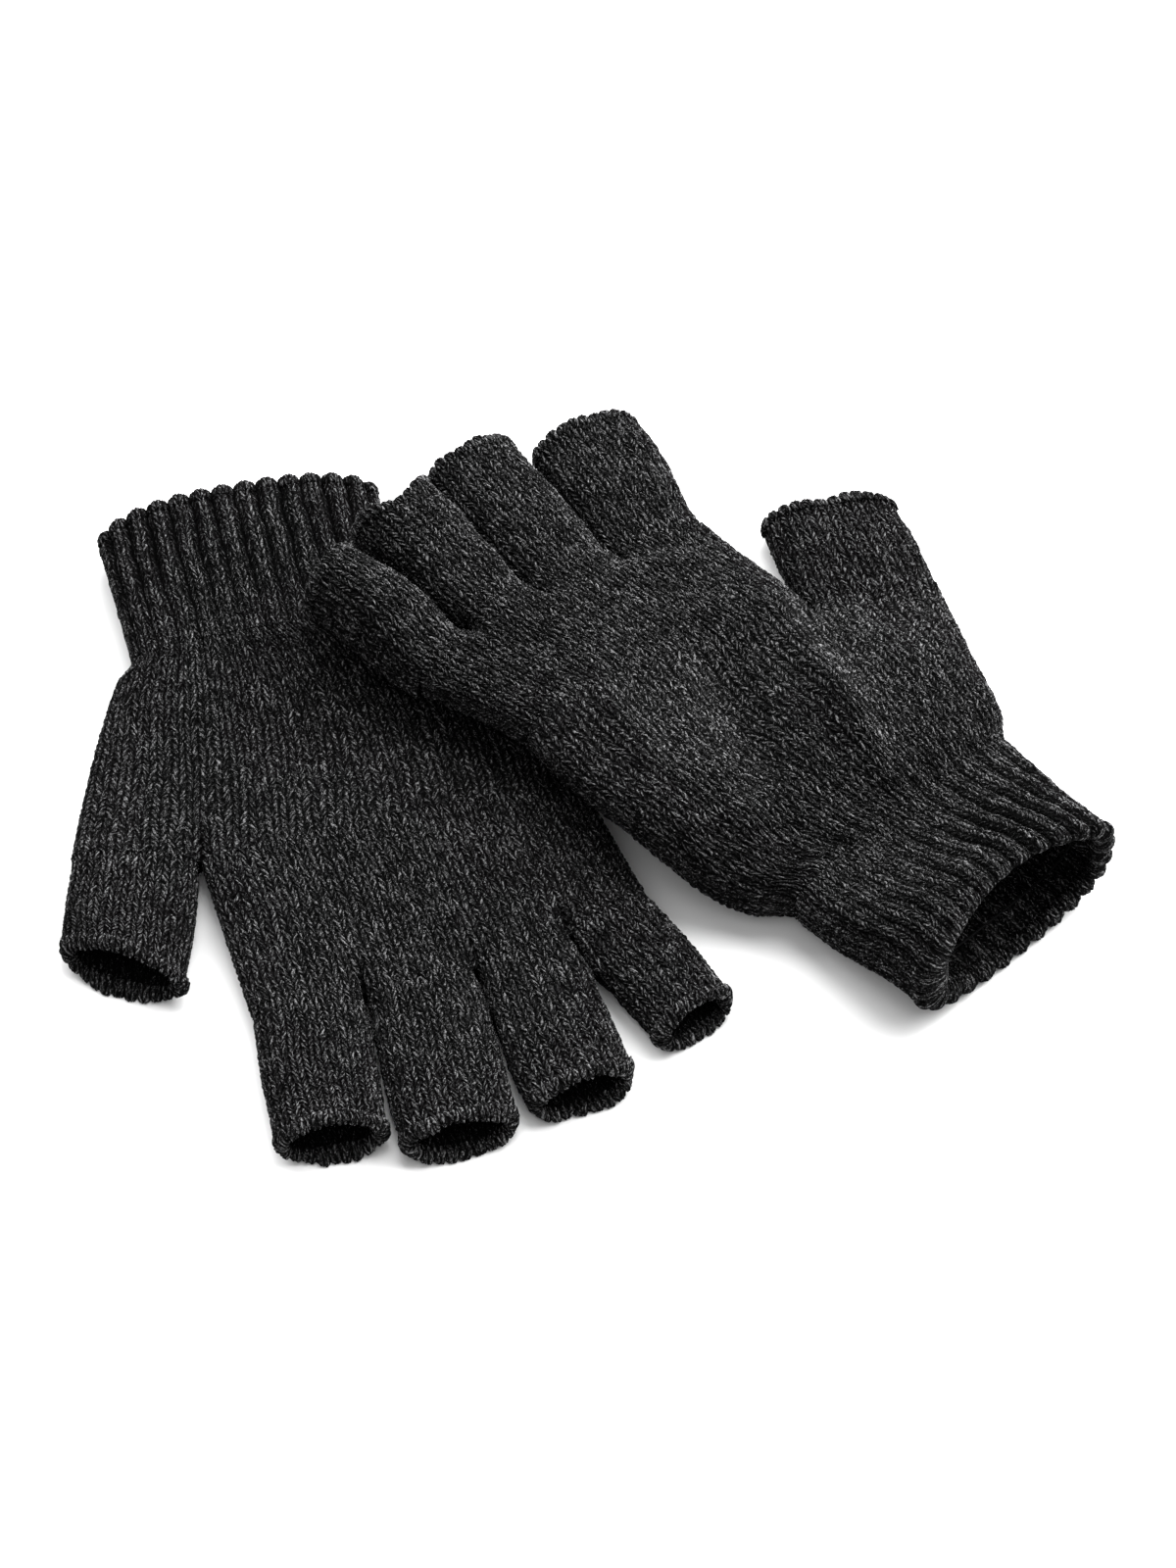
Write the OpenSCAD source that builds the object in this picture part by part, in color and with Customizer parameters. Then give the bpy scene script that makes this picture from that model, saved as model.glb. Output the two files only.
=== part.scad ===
// A pair of knitted fingerless gloves. The lower glove lies flat on the table,
// and the upper glove lies across its little-finger side.
//
// Each glove has its own frame: the origin is on the table under the middle of
// the wrist, X runs across the hand towards the thumb, Y runs from the wrist to
// the fingertips, and Z is up. Both gloves are the same flat knit, so both have
// the thumb on the +X side. A glove that stands fuller is narrower, because the
// knitted tube keeps its girth.

/* [Knit] */
// Thickness of the plain knit
wall = 2; // [1.4:0.1:2.6]
// Thickness of the ribbed cuff
rib_wall = 2.6; // [2:0.1:3.4]
// Half the thickness of the curled edge round each stall
edge_r = 1.3; // [1:0.1:1.6]
// Half the thickness of the turned edge round the cuff
welt_r = 1.6; // [1.2:0.1:1.9]
// Half the thickness of the elastic thread in the cuff
elastic_r = 0.3; // [0.2:0.05:0.4]
// Number of elastic threads in a cuff
elastic_rings = 5; // [2:1:7]

/* [Cuff] */
// Width of the wrist when it lies flat
wrist_w = 71; // [64:1:76]
// Length of the cuff, with its edge
cuff_len = 41; // [34:1:50]

/* [Hand] */
// How far the little-finger side flares out past the wrist
heel_flare = 29; // [22:1:34]

/* [Stalls] */
// Width of the thumb stall when it lies flat
thumb_w = 32; // [28:0.5:34]
// Width of the index stall when it lies flat
index_w = 28; // [24:0.5:30]
// Width of the middle stall when it lies flat
middle_w = 27.5; // [24:0.5:30]
// Width of the ring stall when it lies flat
ring_w = 25; // [22:0.5:28]
// Width of the little stall when it lies flat
little_w = 22.5; // [20:0.5:25]
// Length of the thumb stall, with its edge
thumb_len = 32; // [26:1:40]
// Length of the index stall, with its edge
index_len = 40; // [32:1:48]
// Length of the middle stall, with its edge
middle_len = 44; // [34:1:52]
// Length of the ring stall, with its edge
ring_len = 42; // [34:1:50]
// Length of the little stall, with its edge
little_len = 37; // [30:1:44]

/* [Lower glove] */
// Height of the lower glove's hand and stalls
lower_h = 11; // [9:0.5:13]
// Height of the lower glove's wrist
lower_wrist_h = 13; // [12:0.5:14]
// Height of the lower glove's cuff mouth
lower_mouth_h = 16.5; // [14:0.5:20]
// Width of the lower glove's cuff mouth, as if pressed flat
lower_mouth_w = 73; // [68:1:80]
// Turn of the lower glove's cuff from the hand
lower_cuff_turn = -1.5; // [-4:0.5:4]
// Distance from the wrist to the lower glove's thumb crotch
lower_crotch_y = 61; // [56:1:66]
// Distance from the wrist to the lower glove's knuckle line, beside the index stall
lower_knuckle_y = 105; // [100:1:110]
// How far the index stall's outer side is from the lower glove's middle line
lower_knuckle_x = 28; // [24:0.5:32]
// How far the thumb crotch is from the lower glove's middle line
lower_crotch_x = 30.5; // [26:0.5:34]
// Turn of the lower glove on the table
lower_turn = 194; // [190:1:198]
// Place of the lower glove's wrist along X
lower_x = -77.7; // [-84:0.1:-74]
// Place of the lower glove's wrist along Y
lower_y = 40.4; // [36:0.1:44]

/* [Upper glove] */
// Height of the upper glove's palm
upper_palm_h = 18; // [15:0.5:20]
// Height of the upper glove at its knuckles
upper_knuckle_h = 15; // [13:0.5:17]
// Height of the upper glove's wrist
upper_wrist_h = 17; // [14:0.5:20]
// Height of the upper glove's cuff mouth, which stands open
upper_mouth_h = 33; // [26:0.5:36]
// Width of the upper glove's cuff mouth, as if pressed flat
upper_mouth_w = 77; // [70:1:80]
// Turn of the upper glove's cuff from the hand
upper_cuff_turn = 8; // [4:0.5:10]
// Distance from the wrist to the upper glove's thumb crotch
upper_crotch_y = 65; // [60:1:68]
// Distance from the wrist to the upper glove's knuckle line, beside the index stall
upper_knuckle_y = 100.5; // [96:0.5:104]
// How far the index stall's outer side is from the upper glove's middle line
upper_knuckle_x = 15; // [12:0.5:18]
// How far the thumb crotch is from the upper glove's middle line
upper_crotch_x = 20; // [16:0.5:23]
// Roll of the upper glove, with its little-finger side up on the lower glove
upper_roll = 7.8; // [7:0.1:9]
// Distance from the wrist over which the upper glove climbs to its full roll
climb_len = 34; // [28:1:40]
// Turn of the upper glove on the table
upper_turn = 34.5; // [32:0.5:36]
// Place of the upper glove's wrist along X
upper_x = 73.9; // [70:0.1:78]
// Place of the upper glove's wrist along Y
upper_y = -17.6; // [-24:0.1:-16]

/* [Hidden] */

LOWER = 0;
UPPER = 1;
INDEX = 0;
MIDDLE = 1;
RING = 2;
LITTLE = 3;
THUMB = 4;

// Clearance between two pieces that move against each other
gap = 0.3;
// Clearance between the elastic thread and the rib's inner face
thread_gap = 0.4;
// Height at which the flat widths above are measured
flat_h = 10;
// Width that a tube loses for each millimetre that it stands fuller
girth_loss = PI / 2 - 1;
// Points along each flat of a hand section, and along each round side
flat_steps = 8;
side_steps = 12;
// Sections along the palm, and along the knuckles
palm_rows = 7;
knuckle_rows = 3;
// Curves of the palm's two sides: below 1, a side flares out early, near the wrist
heel_curve = 0.65;
thumb_side_curve = 0.72;
// Steps along the cuff, with an elastic thread at each one between its ends
cuff_rows = elastic_rings + 1;
// Length of the ribbed cuff between the wrist and its edge
rib_len = cuff_len - 2 * welt_r;
round_fn = 48;

knit_colour = [0.20, 0.20, 0.21];
rib_colour = [0.17, 0.17, 0.18];
edge_colour = [0.24, 0.24, 0.25];
elastic_colour = [0.07, 0.07, 0.07];

// Values for each finger, in the order index, middle, ring, little, thumb
flat_width = [index_w, middle_w, ring_w, little_w, thumb_w];
stall_len = [index_len, middle_len, ring_len, little_len, thumb_len];
// Angle of each stall from the hand's long axis, positive towards the thumb
splay = [4, -1, -9, -22, 17];
// Height and upward pitch of each stall, for the lower and the upper glove
stall_h = [[lower_h, lower_h, lower_h, lower_h, lower_h], [11, 15, 17.5, 15, 11]];
pitch = [[0, 0, 0, 0, 0], [0, 2.5, 6, 4, 0]];

turn = [lower_turn, upper_turn];
wrist_at = [[lower_x, lower_y, 0], [upper_x, upper_y, 0]];
knuckle_x = [lower_knuckle_x, upper_knuckle_x];
knuckle_y = [lower_knuckle_y, upper_knuckle_y];
thumb_crotch_x = [lower_crotch_x, upper_crotch_x];
thumb_crotch_y = [lower_crotch_y, upper_crotch_y];
cuff_turn = [lower_cuff_turn, upper_cuff_turn];
mouth_w = [lower_mouth_w, upper_mouth_w];
wrist_h = [lower_wrist_h, upper_wrist_h];
mouth_h = [lower_mouth_h, upper_mouth_h];
palm_h = [lower_h, upper_palm_h];
knuckle_h = [lower_h, upper_knuckle_h];
roll = [0, upper_roll];

// ---- Where things are ----

// Width of a flat tube once it stands h tall
function full_width(flat, h) = flat - girth_loss * (h - flat_h);
function stall_width(g, f) = full_width(flat_width[f], stall_h[g][f]);

// Corner k of the knuckle line, from the index stall's outer side to the little stall's
function corner(g, k) =
  k == 0 ? [knuckle_x[g], knuckle_y[g]]
         : corner(g, k - 1) + stall_width(g, k - 1) * [-cos(splay[k - 1]), sin(splay[k - 1])];
function thumb_crotch(g) = [thumb_crotch_x[g], thumb_crotch_y[g]];

// Middle of a stall's root line
function root(g, f) =
  f == THUMB ? thumb_crotch(g) + stall_width(g, f) / 2 * [cos(splay[f]), -sin(splay[f])]
             : (corner(g, f) + corner(g, f + 1)) / 2;

// Y of the stall's root line at x
function root_line(g, f, x) = root(g, f)[1] - (x - root(g, f)[0]) * tan(splay[f]);
// Y of the whole knuckle line, of the line through the thumb crotch, and of the wrist
function knuckle_line(g, x) = min([for (f = [INDEX:LITTLE]) root_line(g, f, x)]);
function crotch_line(g, x) = min(thumb_crotch_y[g], root_line(g, THUMB, x));
function wrist_line(g, x) = x * tan(cuff_turn[g]);

// Height of a glove's underside above the table
function smooth(t) = let (u = max(0, min(1, t))) u * u * (3 - 2 * u);
function underside(g, x, y) =
  tan(roll[g]) * smooth(y / climb_len) * max(0, wrist_w / 2 - x);

// ---- Sections: loops of points, anticlockwise seen from the fingertips ----

// A flat-sided loop with round ends, from x0 to x1 and h tall, as [x, z]
function section(x0, x1, h) =
  let (r = h / 2)
  concat(
    [for (i = [0:flat_steps - 1]) [x0 + r + (x1 - x0 - h) * i / flat_steps, 0]],
    [for (i = [0:side_steps - 1])
      let (a = -90 + 180 * i / side_steps) [x1 - r + r * cos(a), r + r * sin(a)]],
    [for (i = [0:flat_steps - 1]) [x1 - r - (x1 - x0 - h) * i / flat_steps, h]],
    [for (i = [0:side_steps - 1])
      let (a = 90 + 180 * i / side_steps) [x0 + r + r * cos(a), r + r * sin(a)]]
  );

// The two faces of a tube's wall at one section
function skins(x0, x1, h, t) = [
  section(x0, x1, h),
  [for (p = section(x0 + t, x1 - t, h - 2 * t)) [p[0], p[1] + t]]
];

// Lays a section's points on the line y = line(x) and lifts them with the glove
function palm_loop(g, loop, v) =
  [for (p = loop)
    let (y = (1 - v) * wrist_line(g, p[0]) + v * (crotch_line(g, p[0]) - gap))
    [p[0], y, p[1] + underside(g, p[0], y)]];
function knuckle_loop(g, loop, v) =
  [for (p = loop)
    let (back = thumb_crotch_y[g] - gap, y = back + v * (knuckle_line(g, p[0]) - back))
    [p[0], y, p[1] + underside(g, p[0], y)]];
function cuff_loop(loop, y) = [for (p = loop) [p[0], y, p[1]]];

// A tube between matching outer and inner loops
module sleeve(outer, inner) {
  rows = len(outer);
  n = len(outer[0]);
  points = [for (loop = concat(outer, inner)) each loop];
  first_in = rows * n;
  function at(base, row, k) = base + row * n + k % n;
  function strip(a, b, row_a, row_b) = [
    for (k = [0:n - 1]) each [
      [at(a, row_a, k), at(a, row_a, k + 1), at(b, row_b, k + 1)],
      [at(a, row_a, k), at(b, row_b, k + 1), at(b, row_b, k)]
    ]
  ];
  faces = concat(
    [for (r = [0:rows - 2]) each strip(0, 0, r, r + 1)],
    [for (r = [0:rows - 2]) each strip(first_in, first_in, r + 1, r)],
    strip(first_in, 0, 0, 0),
    strip(0, first_in, rows - 1, rows - 1)
  );
  polyhedron(points, faces, convexity = 8);
}

// ---- Placing ----

module on_table(g) {
  translate(wrist_at[g]) rotate([0, 0, turn[g]]) children();
}

// The frame of a cuff: its origin is the middle of the wrist, and Y runs towards the hand
module at_cuff(g) {
  on_table(g) rotate([0, 0, cuff_turn[g]]) children();
}

// The frame of a stall: its origin is the top of the root line, where the stall
// folds, X runs along the fold and Y runs out to the fingertip
module at_stall(g, f) {
  c = root(g, f);
  lean = f == THUMB ? 0 : roll[g];
  on_table(g)
    translate([c[0], c[1], underside(g, c[0], c[1]) + stall_h[g][f]])
      rotate([pitch[g][f], lean, -splay[f]])
        children();
}

// ---- Shapes ----

// A flat-sided outline with round ends, w wide and h tall, its top at zero
module flat_round(w, h) {
  translate([0, -h / 2]) {
    square([w - h, h], center = true);
    for (side = [-1, 1]) translate([side * (w - h) / 2, 0]) circle(h / 2, $fn = round_fn);
  }
}

// A band along such an outline: t thick, len long in Y, and w wide and h tall outside
module band(w, h, t, len) {
  translate([0, len, 0]) rotate([90, 0, 0])
    linear_extrude(len) difference() {
      flat_round(w, h);
      translate([0, -t]) flat_round(w - 2 * t, h - 2 * t);
    }
}

// Width and height of the cuff at v, from the wrist at 0 to the mouth at 1
function cuff_h(g, v) = wrist_h[g] + (mouth_h[g] - wrist_h[g]) * smooth(v);
function cuff_width(g, v) = full_width(wrist_w + (mouth_w[g] - wrist_w) * v, cuff_h(g, v));
function cuff_skins(g, v) =
  let (w = cuff_width(g, v)) skins(-w / 2, w / 2, cuff_h(g, v), rib_wall);

// Left and right sides of the palm at v, from the wrist at 0 to the crotch line at 1
function palm_x0(g, v) = -full_width(wrist_w, palm_height(g, v)) / 2
  - heel_flare * sin(90 * pow(v, heel_curve));
function palm_x1(g, v) =
  let (
    start = full_width(wrist_w, palm_height(g, v)) / 2,
    end = thumb_crotch(g)[0] + stall_width(g, THUMB) * cos(splay[THUMB])
  )
  start + (end - start) * pow(v, thumb_side_curve);
function palm_height(g, v) = v < 0.5
  ? wrist_h[g] + (palm_h[g] - wrist_h[g]) * smooth(2 * v)
  : palm_h[g] + (front_h(g) - palm_h[g]) * smooth(2 * v - 1);
// Height of the hand at the thumb crotch
function front_h(g) = (palm_h[g] + knuckle_h[g]) / 2;

// ---- Sub-parts ----

module cuff_rib(g) {
  rows = [for (i = [0:cuff_rows]) cuff_skins(g, i / cuff_rows)];
  color(rib_colour) at_cuff(g)
    sleeve(
      [for (i = [cuff_rows:-1:0]) cuff_loop(rows[i][0], -gap - i / cuff_rows * rib_len)],
      [for (i = [cuff_rows:-1:0]) cuff_loop(rows[i][1], -gap - i / cuff_rows * rib_len)]
    );
}

module cuff_edge(g) {
  color(edge_colour) at_cuff(g)
    translate([0, -gap - cuff_len, mouth_h[g]])
      band(cuff_width(g, 1), mouth_h[g], 2 * welt_r, 2 * welt_r);
}

module cuff_elastic(g) {
  inset = rib_wall + thread_gap;
  thread = 2 * elastic_r;
  color(elastic_colour) at_cuff(g)
    for (i = [1:elastic_rings]) {
      v = i / cuff_rows;
      w = cuff_width(g, v) - 2 * inset;
      ring = skins(-w / 2, w / 2, cuff_h(g, v) - 2 * inset, thread);
      translate([0, -gap - v * rib_len, inset])
        sleeve(
          [for (y = [0, thread]) cuff_loop(ring[0], y)],
          [for (y = [0, thread]) cuff_loop(ring[1], y)]
        );
    }
}

module palm(g) {
  rows = [
    for (i = [0:palm_rows - 1])
      let (v = i / (palm_rows - 1)) skins(palm_x0(g, v), palm_x1(g, v), palm_height(g, v), wall)
  ];
  color(knit_colour) on_table(g)
    sleeve(
      [for (i = [0:palm_rows - 1]) palm_loop(g, rows[i][0], i / (palm_rows - 1))],
      [for (i = [0:palm_rows - 1]) palm_loop(g, rows[i][1], i / (palm_rows - 1))]
    );
}

module knuckles(g) {
  back_x0 = palm_x0(g, 1);
  front_x0 = corner(g, 4)[0];
  rows = [
    for (i = [0:knuckle_rows - 1])
      let (v = i / (knuckle_rows - 1))
      skins(
        back_x0 + (front_x0 - back_x0) * v,
        thumb_crotch(g)[0] + (corner(g, 0)[0] - thumb_crotch(g)[0]) * v,
        front_h(g) + (knuckle_h[g] - front_h(g)) * v,
        wall
      )
  ];
  color(knit_colour) on_table(g)
    sleeve(
      [for (i = [0:knuckle_rows - 1]) knuckle_loop(g, rows[i][0], i / (knuckle_rows - 1))],
      [for (i = [0:knuckle_rows - 1]) knuckle_loop(g, rows[i][1], i / (knuckle_rows - 1))]
    );
}

module stall(g, f) {
  color(knit_colour) at_stall(g, f)
    translate([0, gap, 0])
      band(stall_width(g, f) - 2 * gap, stall_h[g][f], wall, stall_len[f] - 2 * edge_r);
}

module stall_edge(g, f) {
  color(edge_colour) at_stall(g, f)
    translate([0, gap + stall_len[f] - 2 * edge_r, 0])
      band(stall_width(g, f) - 2 * gap, stall_h[g][f], 2 * edge_r, 2 * edge_r);
}

cuff_edge(LOWER);  // lower_cuff_edge
cuff_rib(LOWER);  // lower_cuff_rib
cuff_elastic(LOWER);  // lower_cuff_elastic
palm(LOWER);  // lower_palm
knuckles(LOWER);  // lower_knuckles
stall(LOWER, THUMB);  // lower_thumb
stall(LOWER, INDEX);  // lower_index
stall(LOWER, MIDDLE);  // lower_middle
stall(LOWER, RING);  // lower_ring
stall(LOWER, LITTLE);  // lower_little
stall_edge(LOWER, THUMB);  // lower_thumb_edge
stall_edge(LOWER, INDEX);  // lower_index_edge
stall_edge(LOWER, MIDDLE);  // lower_middle_edge
stall_edge(LOWER, RING);  // lower_ring_edge
stall_edge(LOWER, LITTLE);  // lower_little_edge
cuff_edge(UPPER);  // upper_cuff_edge
cuff_rib(UPPER);  // upper_cuff_rib
cuff_elastic(UPPER);  // upper_cuff_elastic
palm(UPPER);  // upper_palm
knuckles(UPPER);  // upper_knuckles
stall(UPPER, THUMB);  // upper_thumb
stall(UPPER, INDEX);  // upper_index
stall(UPPER, MIDDLE);  // upper_middle
stall(UPPER, RING);  // upper_ring
stall(UPPER, LITTLE);  // upper_little
stall_edge(UPPER, THUMB);  // upper_thumb_edge
stall_edge(UPPER, INDEX);  // upper_index_edge
stall_edge(UPPER, MIDDLE);  // upper_middle_edge
stall_edge(UPPER, RING);  // upper_ring_edge
stall_edge(UPPER, LITTLE);  // upper_little_edge
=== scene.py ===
import math

import bpy
import numpy as np
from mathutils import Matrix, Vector


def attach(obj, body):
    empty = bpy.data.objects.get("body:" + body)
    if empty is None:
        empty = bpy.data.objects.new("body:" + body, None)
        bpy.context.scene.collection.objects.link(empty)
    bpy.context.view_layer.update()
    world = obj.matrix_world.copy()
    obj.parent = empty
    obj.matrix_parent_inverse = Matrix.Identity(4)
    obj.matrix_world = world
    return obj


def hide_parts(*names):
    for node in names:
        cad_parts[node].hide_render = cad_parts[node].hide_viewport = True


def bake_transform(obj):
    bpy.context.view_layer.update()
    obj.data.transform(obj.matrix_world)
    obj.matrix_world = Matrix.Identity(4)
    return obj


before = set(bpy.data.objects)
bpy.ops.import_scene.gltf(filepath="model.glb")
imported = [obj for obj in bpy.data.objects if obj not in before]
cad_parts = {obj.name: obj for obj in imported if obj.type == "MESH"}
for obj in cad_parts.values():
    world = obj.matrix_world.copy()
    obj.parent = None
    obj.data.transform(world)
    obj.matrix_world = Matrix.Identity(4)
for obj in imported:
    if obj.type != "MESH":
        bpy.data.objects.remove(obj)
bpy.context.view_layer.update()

# Every length below is in millimetres, in the part's frame, until a mesh is made
MM = 0.001

INDEX, MIDDLE, RING, LITTLE, THUMB = range(5)
FINGERS = ("index", "middle", "ring", "little", "thumb")

# ---- Sizes shared by both gloves, as in the CAD model ----

WALL = 2.0  # thickness of the plain knit
RIB_WALL = 2.6  # thickness of the cuff's rib
EDGE_R = 1.3  # radius of the curled edge round a stall's mouth
WELT_R = 1.6  # radius of the turned edge round the cuff's mouth
ELASTIC_R = 0.3  # radius of the elastic thread
ELASTIC_RINGS = 5  # its turns in a cuff
THREAD_GAP = 0.4  # between the thread and the cuff's lining
THREAD_SPARE = 0.6  # added to that gap for the relief of the lining
WRIST_W = 71.0  # width of the wrist, lying flat
CUFF_LEN = 41.0
RIB_LEN = CUFF_LEN - 2 * WELT_R
GAP = 0.3  # between neighbouring parts
FLAT_H = 10.0  # height of a tube at which it has its flat width
GIRTH_LOSS = math.pi / 2 - 1  # width that a tube loses for each mm that it is higher
HEEL_FLARE = 29.0  # how much the palm widens towards the little finger's side
THUMB_SIDE_CURVE = 0.72  # how straight the palm's thumb side is: 1 is straight
CLIMB_LEN = 34.0  # length over which the upper hand climbs on to the lower one
# For each finger: the stall's width lying flat, its length, and its lean towards the thumb's side in degrees
FLAT_WIDTH = (28.0, 27.5, 25.0, 22.5, 32.0)
STALL_LEN = (40.0, 44.0, 42.0, 37.0, 32.0)
SPLAY = (4.0, -1.0, -9.0, -22.0, 17.0)

# ---- Stitches ----

COURSE = 1.8  # length of one row of stitches
WALE = 3.05  # width of one column of stitches
LEAN = 1.65  # how far a leg of a stitch rises, in courses
LEG_FALL = 0.86  # how far a leg of a stitch falls off towards its two ends
LEG_SIZES = (0.80, 0.34)  # height of the smallest leg, and how much more the largest has
RIBS = 28  # ribs round a cuff
RIB_WALES = 2  # columns of stitches in a rib
CUFF_WALES = RIBS * RIB_WALES
PALM_WALES = 66
KNUCKLE_WALES = 64
INSIDE = 500.0  # added to a lining's course number, which marks it as the back of the knit, where the yarn material adds its lining tone, painted shade inside the tube
STITCH_DEPTH = 0.95  # relief of a stitch
RIB_STITCHES = 0.9  # relief of a rib's stitches, as a share of that
RIB_TOP_STITCHES = 0.28  # how much it falls off for each mm down into a groove
EDGE_STITCHES = 0.75  # relief of the stitches of a stall's edge, in mm
WELT_STITCHES = 0.7  # relief of the stitches of a cuff's edge, in mm
EDGE_COURSES = 4  # rows of stitches round the roll of a stall's edge
WELT_COURSES = 5  # rows of stitches round the cuff's edge
# How far stitches stray from their even places: alone and in soft waves, in columns and in rows
STRAY_ACROSS = (0.10, 0.12)
STRAY_ALONG = (0.30, 0.22)
RIB_ROUND = 2.0  # how round a rib is: less is rounder
WRIST_GROOVE = 0.6  # depth of the cuff's grooves where they run on into the palm
WRIST_GROOVE_LEN = 18.0  # length over which they end there
# Mesh points in one column over the top and underneath, and in one row
PALM_SAMPLES = (9, 4, 6)
KNUCKLE_SAMPLES = (11, 5, 7)
CUFF_SAMPLES = (11, 6)
STALL_SAMPLES = (12, 8)
HAND_LINING = 12  # mesh rows of a hand's lining
TUBE_LINING = 24  # mesh rows of a stall's or a cuff's lining
EDGE_SAMPLES = (14, 28)  # mesh points in one column, and round the roll
WELT_SAMPLES = (12, 32)
THREAD_SAMPLES = (360, 8)  # mesh points along one turn, and round the thread
WINDINGS = 120  # windings of the covering yarn in one turn of the elastic
WINDING_RELIEF = 0.08  # their relief, as a share of the thread's radius
FINE = 420  # points along half of a section before it is divided evenly

# ---- Linings ----

LINING_RELIEF = 0.25  # relief of a lining
LINING_RIBS = 0.75  # how much nearer to the outside a cuff's lining is behind a rib
LINING_SHARE = 0.62  # how far the lining bulges inwards behind a groove, as a share of its depth
BACK_SHARE = 0.4  # share of a groove's depth that fills the gap behind the ribs beside it, and takes that much off the painted shade there
BACK_PAINTED_SHADE = 1.3  # how dark the painted shade in that gap is, against a groove of its depth

# ---- Sections of the tubes: 2 is an ellipse, and more is squarer ----

HAND_TOP, HAND_UNDER = 3.6, 6.0
STALL_TOP, STALL_UNDER = 2.9, 4.5
MOUTH_TOP, MOUTH_UNDER = 2.3, 2.9
CUFF_UNDER_MORE = 0.5  # how much squarer the cuff's mouth is underneath than on top
JOINED_POWER, FREE_POWER = 8.0, 2.2  # of a roll, on the knit's side and on its free side
SHOULDER = 0.12  # share of the palm over which its sides leave the wrist
SHOULDER_STEP = 0.25  # where on that curve they start
CROTCH_LEN = 9.0  # length over which the hand takes the shape of the stalls
HEIGHT_LEN = 32.0  # length over which it takes their heights
STALL_BELLY = 0.45  # how far a stall swells at each side, half way along
TIGHT = 0.9  # share of the gap between two stalls that they close near their roots
TIGHT_LEN = 9.0  # length over which they close it, and over which they then part

# Where each glove lies, and its own sizes. Angles are in degrees. crotch and knuckle are the places of the
# thumb's crotch and of the index stall's outer side. mouth_round is how square the cuff's mouth is on top,
# and heel is how late the palm widens.
GLOVES = {
    "lower": dict(
        turn=194.0, at=(-77.7, 40.4), palm_h=11.0, knuckle_h=11.0, wrist_h=13.0,
        mouth_h=16.5, mouth_w=73.0, cuff_turn=-1.5, crotch=(30.5, 61.0), knuckle=(28.0, 105.0),
        roll=0.0, stall_h=(11.0, 11.0, 11.0, 11.0, 11.0), pitch=(0.0, 0.0, 0.0, 0.0, 0.0),
        mouth_round=(2.7, 2.7), heel=0.65, seed=11,
    ),
    "upper": dict(
        turn=34.5, at=(73.9, -17.6), palm_h=18.0, knuckle_h=15.0, wrist_h=17.0,
        mouth_h=33.0, mouth_w=77.0, cuff_turn=8.0, crotch=(20.0, 65.0), knuckle=(15.0, 100.5),
        roll=7.8, stall_h=(11.0, 15.0, 17.5, 15.0, 11.0), pitch=(0.0, 2.5, 6.0, 4.0, 0.0),
        mouth_round=(2.05, 2.8), heel=0.78, seed=57,
    ),
}

# ---- How each glove lies: what its soft shape adds to the CAD model ----

# The stalls' mouths. For each finger: how far the top lip is pulled back and the bottom lip reaches out
# in the middle, how far the corners are pulled back, how much wider the mouth is at its low-x and high-x
# sides, and how much higher its top is.
LIP_BACK = {
    "lower": (4.6, 2.4, 2.2, 2.4, 4.2),
    "upper": (0.0, 0.6, 5.2, 1.2, 1.0),
}
LIP_OUT = {
    "lower": (0.8, 2.6, 2.2, 1.6, 3.2),
    "upper": (0.8, 0.8, 1.0, 0.6, 0.8),
}
CORNER_BACK = {
    "lower": (1.6, 2.2, 2.6, 1.7, 1.3),
    "upper": (2.2, 3.5, 2.0, 1.2, 3.2),
}
FLARE = {
    "lower": ((0.0, 0.0), (0.2, 2.0), (0.0, 3.4), (0.0, 0.8), (0.0, 0.0)),
    "upper": ((0.2, 3.0), (2.4, 0.4), (0.4, 3.4), (-3.4, 1.6), (1.6, 1.6)),
}
PUFF = {
    "lower": (0.0, 0.0, 0.0, 0.0, 0.0),
    "upper": (1.5, 0.5, 0.0, 5.6, 0.0),
}
SLANT = {"lower": -20.0, "upper": -6.0}  # slant of the thumb's mouth, in degrees
MOUTH_START = 0.45  # share of a stall's length where the shape of its mouth begins
BOW_FALL = 0.8  # how much less the lips are pulled at the corners than in the middle
CORNER_POWER = 5  # how sharp the corners are
SLANT_UNDER = 0.7  # share of the slant that the bottom lip has
ROUND_FROM = 0.4  # share of a stall's length where its section starts to turn into its mouth's
FLARE_SPEED = 1.15  # how fast a stall flares along its length, and how fast its top rises
PUFF_SPEED = 1.7

# The rolls round the stalls' mouths
CORNER_ROLL = 0.65  # how much thicker the roll is at the mouth's corners
CURL = 0.4  # how far the roll stands out from the stall
ROLL_WANDER = (0.22, 0.10)  # how far its stitches stray, round the mouth and round the roll
LOOSE = 0.38  # slow unevenness of the roll
LUMP_SIZES = (0.6, 0.6)  # size of the smallest bump, and how much more the largest has
LUMP_RISE = 0.4  # how far a bump stands up, and how far it reaches out
LUMP_REACH = 1.1
LUMP_ROUND = 0.6  # how round a bump is: less is squarer
LUMP_GAP_STITCHES = 0.6  # relief of the stitches between bumps, as a share of that on them
FREE_STITCHES = 0.6  # relief of a roll's free side, as a share of its own
EDGE_OVERLAP, WELT_OVERLAP = 0.1, 0.15  # how far a roll reaches over the knit that it ends

# The hand
THUMB_BULGE = {"lower": 0.0, "upper": 3.2}  # extra width of the thumb's root at its outer side
WRIST_BULGE = {"lower": 0.0, "upper": 3.5}  # extra width of the wrist at the thumb's side
WRIST_BULGE_END = (0.6, 0.8)  # where it ends, as shares of the palm and of the cuff
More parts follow.
